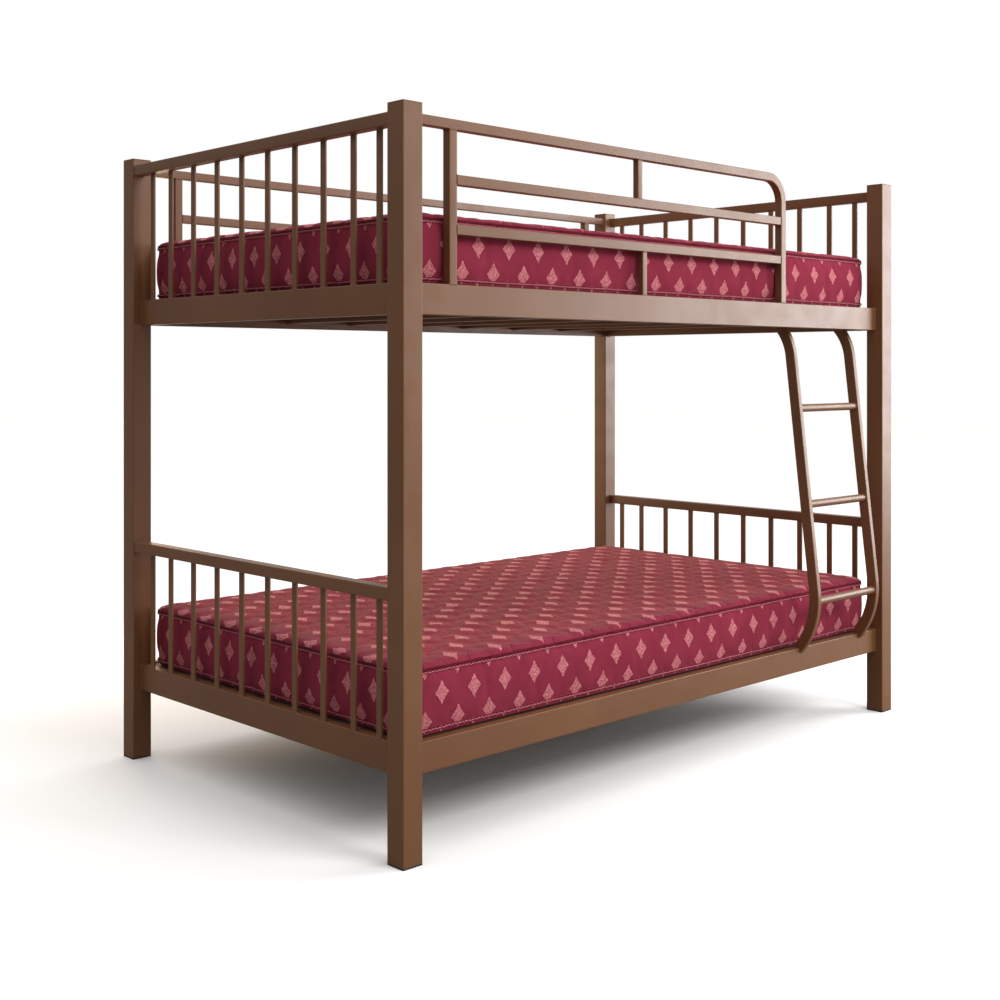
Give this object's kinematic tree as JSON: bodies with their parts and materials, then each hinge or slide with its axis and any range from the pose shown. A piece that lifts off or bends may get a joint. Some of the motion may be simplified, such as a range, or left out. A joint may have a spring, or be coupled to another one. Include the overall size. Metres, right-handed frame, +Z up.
{
  "type": "bunk bed",
  "caption": "Steel bunk bed with square posts, spindle ends, tubular guards, a bowed fixed ladder and a padded mattress on each deck.",
  "frame": {"origin": "on the floor, at the middle of the overall footprint, ladder included", "axes": "+X along the bed's length towards the ladder end, +Y from the ladder side to the rear, +Z up"},
  "size_m": [2.165, 1.3545, 1.79],
  "materials": {
    "frame_paint": "gloss",
    "cap_plastic": "satin",
    "foot_plastic": "matte",
    "deck_plywood": "matte",
    "mattress_fabric": "matte"
  },
  "bodies": {
    "frame": {"post_front_left": "frame_paint", "post_cap_front_left": "cap_plastic", "foot_front_left": "foot_plastic", "post_front_right": "frame_paint", "post_cap_front_right": "cap_plastic", "foot_front_right": "foot_plastic", "post_rear_left": "frame_paint", "post_cap_rear_left": "cap_plastic", "foot_rear_left": "foot_plastic", "post_rear_right": "frame_paint", "post_cap_rear_right": "cap_plastic", "foot_rear_right": "foot_plastic", "lower_side_rail_front": "frame_paint", "lower_side_rail_rear": "frame_paint", "lower_end_rail_left": "frame_paint", "lower_end_rail_right": "frame_paint", "lower_bearer_1": "frame_paint", "lower_bearer_2": "frame_paint", "lower_bearer_3": "frame_paint", "lower_bearer_4": "frame_paint", "lower_bearer_5": "frame_paint", "lower_bearer_6": "frame_paint", "lower_bearer_7": "frame_paint", "lower_deck_board": "deck_plywood", "lower_end_grille_left": "frame_paint", "lower_end_grille_right": "frame_paint", "upper_side_rail_front": "frame_paint", "upper_side_rail_rear": "frame_paint", "upper_end_rail_left": "frame_paint", "upper_end_rail_right": "frame_paint", "upper_bearer_1": "frame_paint", "upper_bearer_2": "frame_paint", "upper_bearer_3": "frame_paint", "upper_bearer_4": "frame_paint", "upper_bearer_5": "frame_paint", "upper_bearer_6": "frame_paint", "upper_bearer_7": "frame_paint", "upper_deck_board": "deck_plywood", "upper_end_grille_left": "frame_paint", "upper_end_grille_right": "frame_paint", "front_guard_top_tube": "frame_paint", "front_guard_upright": "frame_paint", "front_guard_mid_bar": "frame_paint", "front_guard_low_bar": "frame_paint", "front_guard_upper_strut": "frame_paint", "front_guard_lower_strut": "frame_paint", "rear_guard_top_bar": "frame_paint", "rear_guard_upright_left": "frame_paint", "rear_guard_upright_right": "frame_paint", "rear_guard_mid_bar": "frame_paint", "rear_guard_low_bar": "frame_paint", "ladder_stile_left": "frame_paint", "ladder_bracket_left": "frame_paint", "ladder_stile_right": "frame_paint", "ladder_bracket_right": "frame_paint", "ladder_rung_1": "frame_paint", "ladder_rung_2": "frame_paint", "ladder_rung_3": "frame_paint"},
    "upper_mattress": {"upper_mattress": "mattress_fabric"},
    "lower_mattress": {"lower_mattress": "mattress_fabric"}
  },
  "joints": [
    {"name": "upper_mattress_lift", "type": "slide", "parent": "frame", "child": "upper_mattress", "axis": [0, 0, 1], "range_m": [0, 0.45]},
    {"name": "lower_mattress_lift", "type": "slide", "parent": "frame", "child": "lower_mattress", "axis": [0, 0, 1], "range_m": [0, 0.3]}
  ]
}
